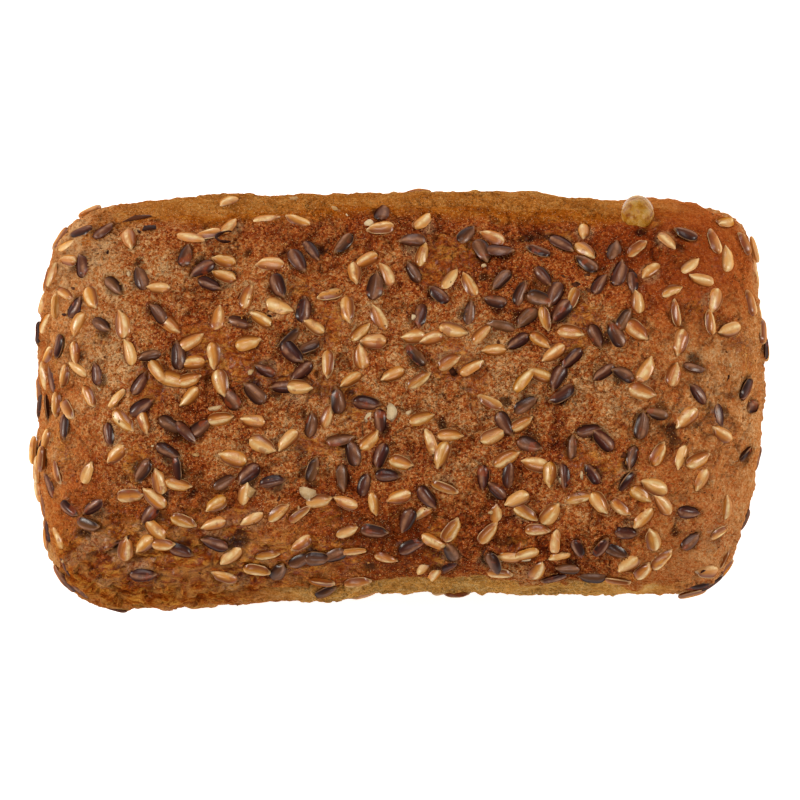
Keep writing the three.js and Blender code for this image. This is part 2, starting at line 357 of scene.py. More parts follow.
def skin_at(over, up):
    """Places of the baked skin as the solid has them, with the way out of it."""
    normal = way_out(form_point, over, up, SLOPE_STEP)
    point = form_point(over, up)
    x, y, z = point.T
    bumps = sum(depth * noise(x / size + size, y / size, z / size) for size, depth in LUMPS)
    off_line = (walk_of(over, up) - crease_line(over, up)) / CREASE_WIDTH
    crease = CREASE_DEPTH * crease_share(over) * np.exp(-(off_line**2))
    relief = (bumps - crease) * smooth(z, 0, BASE_FADE)
    return point + normal * relief[:, None], normal


def patches(over, up, rows):
    """The sum of soft oval patches, from the middle of each, its reach along and across and its strength."""
    total = np.zeros(len(over))
    for at, off, long, wide, by in rows:
        total += by * np.exp(-(((over - at) / long) ** 2) - ((up - off) / wide) ** 2)
    return total


def wrinkled(over, up):
    """How far a place lies in the bare, wrinkled corner of the crust."""
    return np.clip(patches(over, up, [WRINKLED_CORNER]), 0, 1)


def wrinkly(points):
    """Where the crust is drawn together in small lumps, from 0 to 1."""
    return smooth(tilted_noise(points, 9, 8), -0.35, 0.3)


def valleys(points):
    """Thin lines between the lumps of the crust: 1 on a line, 0 off it."""
    first = np.abs(tilted_noise(points, 3.2, 6) + 0.3 * tilted_noise(points, 1.1, 22))
    second = np.abs(tilted_noise(points, 1.9, 9) + 0.3 * tilted_noise(points, 0.8, 23))
    return np.maximum(1 - smooth(first, 0, 0.14), 0.7 * (1 - smooth(second, 0, 0.16)))


def flakes(points):
    """Tilted flakes of drawn skin: their height, how near a point is to an edge, and each flake's number."""
    bent = points * [0.7, 1, 1] + 0.7 * tilted_noise(points, 3.5, 14)[:, None]
    height, edge = np.zeros(len(points)), np.zeros(len(points))
    for size, layer in ((4.6, 5), (2.4, 6)):
        way, _, from_edge, number = nearest_grain(bent, size, layer)
        edge = np.maximum(edge, 1 - smooth(from_edge * size, 0.1, 0.6))
        slope = way[:, 0] * np.cos(9 * math.pi * number) + way[:, 1] * np.sin(9 * math.pi * number)
        height += 0.24 * size * (slope + 0.6 * (number - 0.5))
    return height, edge, number


def fine_skin(over, up):
    """The skin with the relief that is too fine for the solid."""
    point, normal = skin_at(over, up)
    drawn = wrinkly(point)
    lumps = sum(height * tilted_noise(point, size, layer) for height, size, layer in FINE_LUMPS)
    grit = -GRIT_DEPTH * nearest_grain(point, GRIT_SIZE, 17)[1] * lerp(0.5, 1, drawn)
    cracks = -CRACK_DEPTH * valleys(point) * drawn
    _, away, _, number = nearest_grain(point, PIT_SPACING, 4)
    pits = -PIT_DEPTH * np.where(number < PIT_SHARE, 1 - smooth(away, 0.08, 0.3), 0)
    corner = wrinkled(over, up)
    calm = np.where((up > 0) & (np.abs(over) < 55), smooth(walk_of(over, up), 1, 4), 0)
    relief = (lumps + grit + pits * (1 - corner) + cracks) * (1 - 0.4 * calm) * (1 - 0.6 * corner)
    relief += flakes(point)[0] * corner
    return point + normal * (relief * smooth(point[:, 2], 0, 3))[:, None], normal


def seed_chance(over, up):
    """How likely a place of the skin is to hold a seed."""
    walked = walk_of(over, up)
    on_long_side = np.abs(over) < HALF_LENGTH - SHOULDER_REACH / 3
    bare_walk = np.where(up > 0, walk_at_inset(BARE_STRIP_BACK), walk_at_inset(BARE_STRIP_FRONT))
    down = np.where(walked > 0, lerp(*END_COVERAGE, walked / END_WRAP), 1)
    bare = patches(over, up, [BARE_CORNER])
    thinned = THIN_END["share"] * smooth(over, THIN_END["start"], THIN_END["end"])
    size = PATCHES["size"]
    patch = PATCHES["swing"] * noise(over / size, up / size, PATCHES["layer"])
    chance = down * (COVERAGE + patch) * (1 - bare) * (1 - thinned)
    chance = np.where(on_long_side & (walked > bare_walk), STRAY_CHANCE, chance)
    return np.where(walked > END_WRAP, 0, chance)


def strewn_seeds():
    """The place, turn, size and lean of each seed, in the solid's order."""
    drawn = draws(SEED_DRAW, 7 * SEED_TRIES).reshape(-1, 7)
    over = (2 * drawn[:, 0] - 1) * (HALF_LENGTH + END_WRAP)
    up = (2 * drawn[:, 1] - 1) * (HALF_WIDTH + END_WRAP)
    turn = drawn[:, 2] * math.tau
    size = SEED_LENGTH * (1 + SEED_SPREAD * (2 * drawn[:, 3] - 1))
    lean = SEED_LEAN * (2 * drawn[:, 4:6] - 1)
    wanted = drawn[:, 6] < seed_chance(over, up)
    kept = []
    for i in np.nonzero(wanted)[0]:
        if all(math.hypot(over[i] - over[j], up[i] - up[j]) > SEED_GAP for j in kept):
            kept.append(i)
    return over[kept], up[kept], turn[kept], size[kept], lean[kept]


# Where the crust is baked darker, or paler if below 0: over, up, reach along and across, by how much
BAKED = [
    (-8, -27, 46, 11, 1),
    (24, 31, 44, 10, 0.8),
    (50, 25, 13, 12, 0.75),
    (-24, 32, 30, 7, 0.4),
    (4, 3, 50, 7, -0.35),
    (25, 6, 12, 8, -0.3),
    (-26, -6, 10, 8, 0.4),
    (-60, 32, 12, 11, -0.8),
    (-56, -26, 12, 12, 0.5),
    (66, -8, 12, 24, -0.25),
]
# Where the crust is paler and less orange, with the same numbers
FLOURY = [
    (-60, 31, 10, 9, 0.5),
    (64, -28, 10, 12, 0.55),
]

# Colours, as the photo shows them
CREAM = (240, 188, 132)
TAN = (214, 138, 74)
AMBER = (194, 100, 42)
RED_BROWN = (160, 68, 24)
DEEP_BROWN = (108, 38, 10)
# painted shade down in the cracks of the crust
CRACK_SHADE = (80, 20, 6)
# the stains and burnt spots of the crust, also used for the painted shadow ring round each seed
OLIVE_STAIN_AND_SHADOW = (88, 46, 16)
DARK_STAIN_AND_SHADOW = (40, 12, 10)
OCHRE = [(194, 118, 46), (230, 164, 80), (246, 206, 138)]
ORANGE = [(140, 62, 8), (188, 98, 22), (222, 148, 60)]
GLAZE = [(96, 30, 4), (178, 80, 10), (240, 164, 66)]
# painted highlight along the edges of the flakes in the wrinkled corner
FLAKE_EDGE_HIGHLIGHT = (224, 152, 78)
CRUMBS = (220, 168, 116)
GOLDEN_SEED = [(206, 124, 36), (226, 152, 62), (194, 108, 28), (236, 172, 92), (216, 136, 62), (204, 130, 34)]
BROWN_SEED = [(90, 40, 22), (62, 20, 16), (116, 72, 38), (82, 30, 20), (100, 56, 30)]
# Each kind of seed: its tones, the colour of the painted shade on one flank, that of the painted highlight
# (its sheen) on the other, that of its pale tip and thin edge with a painted rim light, and how glossy it is
SEED_LOOKS = {
    "golden": (GOLDEN_SEED, (128, 58, 10), (255, 222, 160), (240, 200, 140), 1),
    "brown": (BROWN_SEED, (40, 12, 8), (168, 116, 84), (176, 124, 76), 0.6),
}
BLISTER_TONES = [(0.34, (156, 84, 14)), (0.5, (202, 140, 44)), (0.68, (232, 184, 100))]
BLISTER_SPOTS = (140, 84, 20)
BLISTER_SHINE = (1, 0.82, 0.62, 1)
CURL_TONES = [(48, 20, 12), (128, 70, 36)]
# What the underside has of the facts of the skin
BASE_FACTS = {"orange": 0.25, "pale": 0.35, "baked": 0.4}

# The crust's textures: their sizes, and how deep the relief is that they give, in millimetres
TEXTURE = {"broad": 15, "middle": 3.2, "fine": 0.6, "grain": 0.4, "grit": 0.27, "streak": 1.2}
RELIEF = {"grain": -0.45, "fine": 0.62, "streak": 0.9}
TONE_PER_BAKED = 0.13
EVEN_TONE = 0.8  # where the crust is calm


def linear(colour):
    parts = [part / 255 for part in colour]
    return tuple(p / 12.92 if p <= 0.04045 else ((p + 0.055) / 1.055) ** 2.4 for p in parts) + (1,)


class Paint:
    """A material and short ways of adding nodes to it. Values and colours are numbers or sockets."""

    def __init__(self, name):
        self.material = bpy.data.materials.new(name)
        self.material.use_nodes = True
        self.tree = self.material.node_tree
        self.tree.nodes.clear()
        self.here = self.place()

    def add(self, kind, inputs, **settings):
        """Adds a shader node of a kind, such as Math."""
        node = self.tree.nodes.new(f"ShaderNode{kind}")
        for name, value in settings.items():
            setattr(node, name, value)
        for key, value in inputs.items():
            if isinstance(value, bpy.types.NodeSocket):
                self.tree.links.new(value, node.inputs[key])
            else:
                node.inputs[key].default_value = value
        return node

    def place(self, stretch=(1, 1, 1)):
        """Where a point is, in millimetres from the middle of the roll's base."""
        coordinates = self.add("TexCoord", {}).outputs["Object"]
        scale = [1 / METRES * s for s in stretch]
        return self.add("VectorMath", {0: coordinates, 1: scale}, operation="MULTIPLY").outputs[0]

    def attribute(self, name, output="Fac"):
        return self.add("Attribute", {}, attribute_name=name).outputs[output]

    def math(self, operation, first, second=0):
        return self.add("Math", {0: first, 1: second}, operation=operation).outputs[0]

    def times(self, first, second):
        return self.math("MULTIPLY", first, second)

    def plus(self, first, second):
        return self.math("ADD", first, second)

    def span(self, value, low, high, to_low=0, to_high=1):
        """value's share of the way from low to high, held to 0 to 1, then spread over another span."""
        inputs = {"Value": value, "From Min": low, "From Max": high, "To Min": to_low, "To Max": to_high}
        return self.add("MapRange", inputs, interpolation_type="SMOOTHSTEP").outputs[0]

    def mix(self, share, first, second):
        colours = [linear(c) if isinstance(c, tuple) and len(c) == 3 else c for c in (first, second)]
        inputs = {0: share, 6: colours[0], 7: colours[1]}
        return self.add("Mix", inputs, data_type="RGBA").outputs[2]

    def noise(self, size, detail=2, roughness=0.5, bend=0, place=None):
        inputs = {"Scale": 1 / size, "Detail": detail, "Roughness": roughness, "Distortion": bend}
        inputs["Vector"] = self.here if place is None else place
        return self.add("TexNoise", inputs).outputs["Fac"]

    def grains(self, size):
        """Distance to the nearest grain's middle, and that grain's own number."""
        node = self.add("TexVoronoi", {"Vector": self.here, "Scale": 1 / size})
        number = self.add("SeparateColor", {"Color": node.outputs["Color"]}).outputs[0]
        return node.outputs["Distance"], number

    def ramp(self, value, stops):
        node = self.add("ValToRGB", {"Fac": value})
        marks = node.color_ramp.elements
        while len(marks) < len(stops):
            marks.new(0.5)
        for mark, (position, colour) in zip(marks, stops):
            mark.position = position
            mark.color = linear(colour)
        return node.outputs["Color"]

    def bump(self, height, depth, below=None):
        """Relief of so many millimetres for a height from 0 to 1."""
        inputs = {"Height": height, "Distance": depth * METRES, "Strength": 1}
        if below is not None:
            inputs["Normal"] = below
        return self.add("Bump", inputs).outputs["Normal"]

    def gloss(self, share):
        """A share of gloss that fades where the surface turns away from the eye."""
        away = self.add("LayerWeight", {"Blend": 0.5}).outputs["Facing"]
        return self.times(self.span(away, 0.2, 0.7, 1, 0), share)

    def finish(self, colour, roughness, normal, **sockets):
        inputs = {"Base Color": colour, "Roughness": roughness, "Normal": normal}
        inputs.update({name.replace("_", " "): value for name, value in sockets.items()})
        shader = self.add("BsdfPrincipled", inputs).outputs[0]
        self.add("OutputMaterial", {"Surface": shader})
        return self.material


def crust_material():
    paint = Paint("baked_crust")
    fact, mix, span, times, plus = paint.attribute, paint.mix, paint.span, paint.times, paint.plus
    broad = paint.noise(TEXTURE["broad"])
    middle = paint.noise(TEXTURE["middle"], 4, 0.6)
    fine = paint.noise(TEXTURE["fine"], 3, 0.7)
    grain_away, grain_number = paint.grains(TEXTURE["grain"])
    rough_share = paint.math("SUBTRACT", 1, paint.math("MAXIMUM", fact("glaze"), fact("calm")))

    tone = times(broad, 0.45)
    for cause, weight in ((middle, 0.34), (fine, 0.5), (grain_number, 0.2)):
        tone = plus(tone, times(cause, weight))
    tone = plus(tone, times(paint.math("SUBTRACT", EVEN_TONE, tone), fact("calm")))
    tone = paint.math("SUBTRACT", tone, times(fact("baked"), TONE_PER_BAKED))
    tone = span(tone, 0.48, 0.96)
    baked = paint.ramp(tone, [(0, DEEP_BROWN), (0.25, RED_BROWN), (0.5, AMBER), (0.78, TAN), (1, CREAM)])

    side_tone = span(plus(times(middle, 0.5), times(fine, 0.7)), 0.3, 0.9)
    streaks = paint.noise(TEXTURE["streak"], 4, 0.7, 1, paint.place((0.6, 1.3, 1)))
    flake_tone = span(streaks, 0.36, 0.64, 0, 0.6)
    flake_tone = plus(flake_tone, times(side_tone, 0.25))
    flake_tone = plus(flake_tone, times(fact("flake"), 0.3))
    tones = ((side_tone, OCHRE), (side_tone, ORANGE), (flake_tone, GLAZE))
    ochre, orange, glaze = [paint.ramp(tone, list(zip((0, 0.5, 1), colours))) for tone, colours in tones]
    colour = mix(times(fact("glaze"), 0.88), baked, glaze)
    # painted highlight along the flake edges
    colour = mix(fact("edge"), colour, FLAKE_EDGE_HIGHLIGHT)
    colour = mix(fact("orange"), colour, orange)
    colour = mix(fact("pale"), colour, ochre)
    # painted shade down in the cracks
    colour = mix(times(fact("crack_shade"), 0.7), colour, CRACK_SHADE)

    patchy = span(plus(fine, times(grain_number, 0.3)), 0.4, 0.85)
    colour = mix(times(fact("cream"), patchy), colour, CRUMBS)
    # stains and burnt spots, and a painted shadow ring round each seed
    stain_and_shadow_tone = mix(span(middle, 0.4, 0.6), DARK_STAIN_AND_SHADOW, OLIVE_STAIN_AND_SHADOW)
    stain_and_shadow = times(fact("stain_and_shadow"), span(fine, 0.1, 0.5))
    colour = mix(stain_and_shadow, colour, stain_and_shadow_tone)
    grit_away, grit_number = paint.grains(TEXTURE["grit"])
    # pale specks on the grains of the rough crust: partly crumbs, partly painted glints
    speck_and_glint = times(span(grit_number, 0.7, 0.76), span(grit_away, 0.4, 0.2))
    speck_and_glint = times(speck_and_glint, rough_share)
    colour = mix(times(speck_and_glint, 0.95), colour, CREAM)

    relief = paint.bump(times(grain_away, rough_share), RELIEF["grain"])
    relief = paint.bump(fine, RELIEF["fine"], relief)
    relief = paint.bump(times(streaks, fact("glaze")), RELIEF["streak"], relief)
    roughness = span(rough_share, 0, 1, 0.35, 0.6)
    film = paint.gloss(fact("film"))
    return paint.finish(colour, roughness, relief, Specular_IOR_Level=0, Coat_Weight=film, Coat_Roughness=0.3)


def seed_material(name, tones, flank_shade, painted_sheen, keel_and_rim_light, gloss):
    """The skin of one kind of seed. Each seed's mesh says how far along and across it a point is."""
    paint = Paint(name)
    mix, span, times = paint.mix, paint.span, paint.times
    seed = paint.attribute("seed", "Vector")
    along, across, number = paint.add("SeparateXYZ", {"Vector": seed}).outputs
    clouds = paint.noise(1.5, 3, 0.6)
    spot = paint.add("CombineXYZ", {0: along, 1: across, 2: number}).outputs[0]
    stretched = paint.add("VectorMath", {0: spot, 1: (0.8, 5, 60)}, operation="MULTIPLY")
    fibres = paint.noise(1, place=stretched.outputs[0])
    colour = paint.ramp(number, [((i + 0.5) / len(tones), tone) for i, tone in enumerate(tones)])
    colour = mix(span(clouds, 0.4, 0.75, 0, 0.4), colour, flank_shade)
    # lighter fibre streaks, in the colour of the painted sheen
    colour = mix(span(fibres, 0.5, 0.75, 0, 0.22), colour, painted_sheen)
    # painted shade: one flank of every seed is darker, whatever the light
    colour = mix(span(across, 0.15, 0.85, 0, 0.95), colour, flank_shade)
    # painted highlight: a pale band along the other flank of every seed
    painted_highlight = times(span(across, 0.15, -0.35), span(across, -0.85, -0.4))
    painted_highlight = times(painted_highlight, span(clouds, 0.35, 0.65, 0.25, 0.95))
    colour = mix(painted_highlight, colour, painted_sheen)
    # a paler tip, the seed's own colour
    colour = mix(span(along, 0.72, 1, 0, 0.7), colour, keel_and_rim_light)
    # a thin pale line along the edge, strongest on one side: the seed's pale edge, brightened as a painted
    # rim light
    one_side = span(across, -0.2, 0.2, 0.15, 1)
    edge = span(paint.math("ABSOLUTE", across), 0.88, 0.97)
    edge = times(times(edge, span(fibres, 0.35, 0.6, 0.1, 0.8)), one_side)
    colour = mix(edge, colour, keel_and_rim_light)
    dusting = span(paint.noise(2.4, 3), 0.6, 0.68, 0, 0.55)
    colour = mix(dusting, colour, RED_BROWN)
    relief = paint.bump(clouds, 0.12, paint.bump(fibres, 0.08))
    looks = {"Specular_IOR_Level": 0, "Coat_Weight": paint.gloss(gloss), "Coat_Roughness": 0.3}
    return paint.finish(colour, span(clouds, 0.3, 0.7, 0.4, 0.6), relief, Coat_IOR=1.6, **looks)


def bit_material(name, dark, light, roughness):
    paint = Paint(name)
    own = paint.attribute("own")
    grain = paint.noise(0.7, 4, 0.6)
    share = paint.plus(paint.times(grain, 0.9), paint.times(own, 0.7))
    colour = paint.mix(paint.span(share, 0.35, 1.15), dark, light)
    roughness = paint.span(grain, 0.3, 0.7, roughness - 0.1, roughness + 0.1)
    return paint.finish(colour, roughness, paint.bump(grain, 0.25), Specular_IOR_Level=0.1)


def blister_material():
    paint = Paint("blister_skin")
    clouds = paint.noise(1.6, 3, 0.6)
    spots = paint.noise(0.8)
    colour = paint.ramp(clouds, BLISTER_TONES)
    colour = paint.mix(paint.span(spots, 0.55, 0.7, 0, 0.4), colour, BLISTER_SPOTS)
    relief = paint.bump(clouds, 0.4)
    looks = {"Transmission_Weight": 0.2, "Specular_IOR_Level": 0.35, "Specular_Tint": BLISTER_SHINE}
    return paint.finish(colour, paint.span(spots, 0.3, 0.7, 0.2, 0.34), relief, **looks)


def floor_material():
    paint = Paint("pale_floor")
    cloud = paint.noise(300)
    colour = paint.mix(paint.span(cloud, 0.3, 0.7), (250, 250, 250), (252, 252, 252))
    glow = {"Emission_Color": (1, 1, 1, 1), "Emission_Strength": FLOOR_GLOW}
    return paint.finish(colour, paint.span(cloud, 0.3, 0.7, 0.88, 0.92), paint.bump(cloud, 0.01), **glow)


def new_object(name, data):
    thing = bpy.data.objects.new(name, data)
    bpy.context.collection.objects.link(thing)
    return thing


def make_piece(name, points, faces, material, attributes=None, normals=None):
    """A piece of the roll from points in millimetres. It stands, with the others, for the roll's solid."""
    mesh = bpy.data.meshes.new(name)
    mesh.from_pydata(((points - MIDDLE) * METRES).tolist(), [], faces)
    for label, values in (attributes or {}).items():
        values = np.asarray(values, np.float32)
        kind, field = ("FLOAT", "value") if values.ndim == 1 else ("FLOAT_VECTOR", "vector")
        mesh.attributes.new(label, kind, "POINT").data.foreach_set(field, values.ravel())
    mesh.shade_smooth()
    if normals is not None:
        mesh.normals_split_custom_set_from_vertices(normals.tolist())
    mesh.materials.append(material)
    piece = new_object(name, mesh)
    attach(piece, "root")
    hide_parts("bread_roll")
    return piece


def skin_grid():
    """The fine skin laid flat: places, the faces of the top, and the rings that go down the side from it."""
    flat_x, flat_y = np.meshgrid(np.linspace(-1, 1, LENGTH_CELLS + 1), np.linspace(-1, 1, WIDTH_CELLS + 1))
    share = np.maximum(np.abs(flat_x), np.abs(flat_y)).ravel()
    angle = np.arctan2(flat_y * HALF_WIDTH, flat_x * HALF_LENGTH).ravel()
    reach = share * radius_at(angle, SIDE_LEVEL)
    index = np.arange(flat_x.size).reshape(flat_x.shape)
    corners = [index[:-1, :-1], index[:-1, 1:], index[1:, 1:], index[1:, :-1]]
    faces = np.stack(corners, axis=-1).reshape(-1, 4)
    rim = np.concatenate([index[0, :-1], index[:-1, -1], index[-1, :0:-1], index[:0:-1, 0]])

    lowest_seen = BELLY_WALK + ROWS_PAST_BELLY
    seen = np.linspace(0, lowest_seen, round(lowest_seen / VISIBLE_ROW) + 1)
    unseen = np.linspace(lowest_seen, FOOT_WALK, round((FOOT_WALK - lowest_seen) / HIDDEN_ROW) + 1)
    walks = np.concatenate([seen[1:], unseen[1:]])
    ring_reach = (reach[rim] + walks[:, None]).ravel()
    ring_angle = np.tile(angle[rim], len(walks))
    below = len(reach) + np.arange(ring_reach.size).reshape(-1, len(rim))
    rings = np.concatenate([[rim], below])
    reach, angle = np.concatenate([reach, ring_reach]), np.concatenate([angle, ring_angle])
    return reach * np.cos(angle), reach * np.sin(angle), faces, rings


def faces_between(rings):
    """The faces that join each closed ring of corners to the next one."""
    ahead = np.roll(rings, -1, axis=1)
    return np.stack([rings[:-1], rings[1:], ahead[1:], ahead[:-1]], axis=-1).reshape(-1, 4)


def facing(points, quads):
    """Which way a skin of quads faces at each of its points, so that pieces of it meet without a seam."""
    first, second, third, fourth = (points[quads[:, corner]] for corner in range(4))
    turned = np.cross(third - first, fourth - second)
    total = np.zeros_like(points)
    for corner in range(4):
        np.add.at(total, quads[:, corner], turned)
    return unit(total)


def flat_directions(out, turn):
    """The directions along and across things that lie flat on the skin, each with its own turn."""
    heading = np.stack([np.cos(turn), np.sin(turn), 0 * turn], axis=-1)
    across = unit(np.cross(out, heading))
    return np.cross(across, out), across


def seat_seeds(over, up, turn, lean):
    """Each seed's middle and its three directions: along, across and out of the skin."""
    out = way_out(lambda *place: skin_at(*place)[0], over, up, SEAT_STEP)
    along, across = flat_directions(out, turn)
    out = unit(out + along * lean[:, 1:2] - across * lean[:, 0:1])
    across = unit(np.cross(out, along))
    return skin_at(over, up)[0], np.cross(across, out), across, out


def press_beds(points, seats, sizes, golden, random):
    """Presses the skin down under each seed and lifts a lip against one side of it.

    Returns how stained the skin is round the seeds, with a ring of painted shadow hugging each seed, and how
    crumbly.
    """
    stain_and_shadow, cream = np.zeros(len(points)), np.zeros(len(points))
    for middle, along, across, out, size, pale in zip(*seats, sizes, golden):
        near = np.nonzero(np.abs(points - middle).max(axis=1) < size)[0]
        offset = points[near] - middle
        height, ahead, aside = offset @ out, offset @ along, offset @ across
        apart = np.hypot(ahead / (size / 2), aside / (size * SEED_SLIMNESS / 2))
        bed = -BED_DEPTH * (1 - smooth(apart, 0.9, 1.2))
        weight = 1 - smooth(apart, 0.95, 1.6)
        side, lip, spot_turn, spot_reach, strength, crumbs = random.random(6)
        side, spot_turn = math.tau * side, math.tau * spot_turn
        toward = (ahead * math.cos(side) + aside * math.sin(side)) / size
        lip = LIP_HEIGHT * lip * np.exp(-(((apart - LIP_AT) / LIP_WIDTH) ** 2)) * smooth(toward, -0.05, 0.3)
        points[near] += out * ((bed - height) * weight + lip)[:, None]
        reach = lerp(*SPOT_REACH, spot_reach)
        from_spot = np.hypot(ahead - reach * math.cos(spot_turn), aside - reach * math.sin(spot_turn))
        amount = (0.4 if pale else 0.85) * smooth(strength, 0.05, 0.5)
        # painted contact shadow: a dark ring that hugs each seed, stronger beside brown ones
        shade = (0.15 if pale else 0.4) * (1 - smooth(apart, 1, 1.5))
        stain_and_shadow[near] = np.maximum(stain_and_shadow[near], np.maximum(shade, amount * (1 - smooth(from_spot, 0.8, 2.1))))
        cream[near] = np.maximum(cream[near], (crumbs > 0.84) * (1 - smooth(from_spot, 0.8, 2.4)))
    return stain_and_shadow, cream


def seed_grid():
    """A seed of length 2 and width 2, lying along X with its tip at +X, as rings from one end to the other.

    Returns how far along and across it each corner is, 1 for one above or -1 for one below, and the faces.
    """
    turn = np.linspace(0, math.pi, SEED_ROWS + 2)[1:-1]
    ring = len(SEED_TOP) + len(SEED_UNDER)
    along = np.concatenate([np.repeat(-np.cos(turn), ring), [-1, 1]])
    across = np.concatenate([np.tile(SEED_TOP + SEED_UNDER, SEED_ROWS), [0, 0]])
    level = np.concatenate([np.tile([1] * len(SEED_TOP) + [-1] * len(SEED_UNDER), SEED_ROWS), [0, 0]])
    index = np.arange(SEED_ROWS * ring).reshape(-1, ring)
    faces = faces_between(index).tolist()
    tail, tip = index.size, index.size + 1
    faces += [[tail, a, b] for a, b in zip(index[0], np.roll(index[0], -1))]
    faces += [[a, tip, b] for a, b in zip(index[-1], np.roll(index[-1], -1))]
    return along, across, level, faces


def seed_form(along, across, level, length, thickness, random):
    """The corners of one seed: a flat drop with a thin edge, more or less slim, bent and grooved."""
    slim, thick, bow, hook, groove, groove_place, layer = random.random(7)
    half_width = SEED_SLIMNESS * length / 2 * lerp(*SEED_WIDTHS, slim)
    dome = thickness / 2 * lerp(*SEED_DOMES, thick)
    ends = np.sqrt(np.maximum(0, 1 - np.abs(along) ** 2.8))
    drop = ends * (1 - 0.2 * along) * (1 - 0.5 * smooth(along, 0.55, 1))
    x = length / 2 * along * (1 + 0.05 * smooth(along, 0.8, 1))
    y = half_width * across * drop + SEED_BOW * (bow - 0.5) * (along**2 - 0.3)
    y += SEED_HOOK * (hook - 0.5) * smooth(along, 0.5, 1)
    off_middle = np.abs(across)
    height = dome * np.maximum(0, 1 - (off_middle / SEED_KEEL) ** 2) * ends**0.7
    height *= 1 + 0.25 * noise(1.4 * along + 9, 1.6 * across, 40 * layer)
    line = np.exp(-(((across - lerp(-0.5, 0.5, groove_place)) / GROOVE_WIDTH) ** 2))
    height -= GROOVE_DEPTH * smooth(groove, 0.55, 1) * dome * line * ends
    edge = 0.1 * np.minimum(1, (1 - off_middle) / (1 - SEED_KEEL)) * ends
    return np.stack([x, y, level * (height + edge)], axis=-1)


def seeds_piece(name, chosen, seats, sizes, rises, random, material, slot, thickness):
    """All seeds of one kind as one mesh."""
    along, across, level, seed_faces = seed_grid()
    points, faces, facts = [], [], []
    for n in chosen:
        middle, ahead, aside, out = (seat[n] for seat in seats)
        local = seed_form(along, across, level, sizes[n], thickness, random)
        rolled, roll, number = random.random(3)
        tip_over = lerp(*(ROLLED_TILT if rolled < ROLLED_SHARE else FLAT_TILT), roll)
        tip_over *= -1 if rolled < ROLLED_SHARE / 2 else 1
        c, s = math.cos(tip_over), math.sin(tip_over)
        aside, out = aside * c + out * s, out * c - aside * s
        faces += [[corner + len(points) * len(local) for corner in face] for face in seed_faces]
        points.append(middle + out * rises[n] + local @ np.stack([ahead, aside, out]))
        facts.append(np.stack([along, across, np.full(len(local), number)], axis=-1))
    return make_piece(name, np.concatenate(points), faces, material, {"seed": np.concatenate(facts)})


def taken_apart(mesh):
    """The points and faces of a bmesh, which is then freed."""
    mesh.verts.index_update()
    points = np.array([v.co for v in mesh.verts])
    faces = [[v.index for v in face.verts] for face in mesh.faces]
    mesh.free()
    return points, faces


def bit_shape(random, corners):
    """A small angular bit of width 1: the hull of a few strewn points."""
    mesh = bmesh.new()
    for spot in unit(random.normal(size=(corners, 3))) * random.uniform(0.36, 0.5, (corners, 1)):
        mesh.verts.new(spot)
    hull = bmesh.ops.convex_hull(mesh, input=mesh.verts)
    inner = [item for item in hull["geom_interior"] if isinstance(item, bmesh.types.BMVert)]
    bmesh.ops.delete(mesh, geom=inner, context="VERTS")
    return taken_apart(mesh)


def bits_piece(name, places, random, material, corners):
    """Angular bits as one mesh. Each place is (over, up, length, width, height, turn, sunk share)."""
    shapes = [bit_shape(random, corners) for _ in range(BIT_SHAPES)]
    points, faces, own, count = [], [], [], 0
    table = np.array(places, float)
    middles, normals = fine_skin(table[:, 0], table[:, 1])
    directions = zip(*flat_directions(normals, table[:, 5]), normals)
    for row, middle, (ahead, aside, out) in zip(table, middles, directions):
        _, _, length, width, height, _, sunk = row
        shape, shape_faces = shapes[random.integers(len(shapes))]
        local = shape * [length, width, height]
        lifted = middle + out * height * (0.5 - sunk)
        faces += [[corner + count for corner in face] for face in shape_faces]
        points.append(lifted + local @ np.stack([ahead, aside, out]))
        own.append(np.full(len(shape), random.random()))
        count += len(shape)
    return make_piece(name, np.concatenate(points), faces, material, {"own": np.concatenate(own)})


def seat_at(over, up):
    """The seat of one thing that isn't turned or leaning: its middle and its three directions."""
    still = np.zeros(1)
    return [part[0] for part in seat_seeds(np.array([over]), np.array([up]), still, np.zeros((1, 2)))]


def place_under(x, y):
    """The place on the skin laid flat that the camera sees at x, y, measured at the height of the belly."""
    wanted = np.array([x, y], float)
    flat = wanted.copy()
    for _ in range(12):
        point = skin_at(flat[:1], flat[1:])[0][0]
        flat += 0.8 * (wanted - point[:2] * (CAMERA_HEIGHT - BELLY_HEIGHT) / (CAMERA_HEIGHT - point[2]))
    return flat


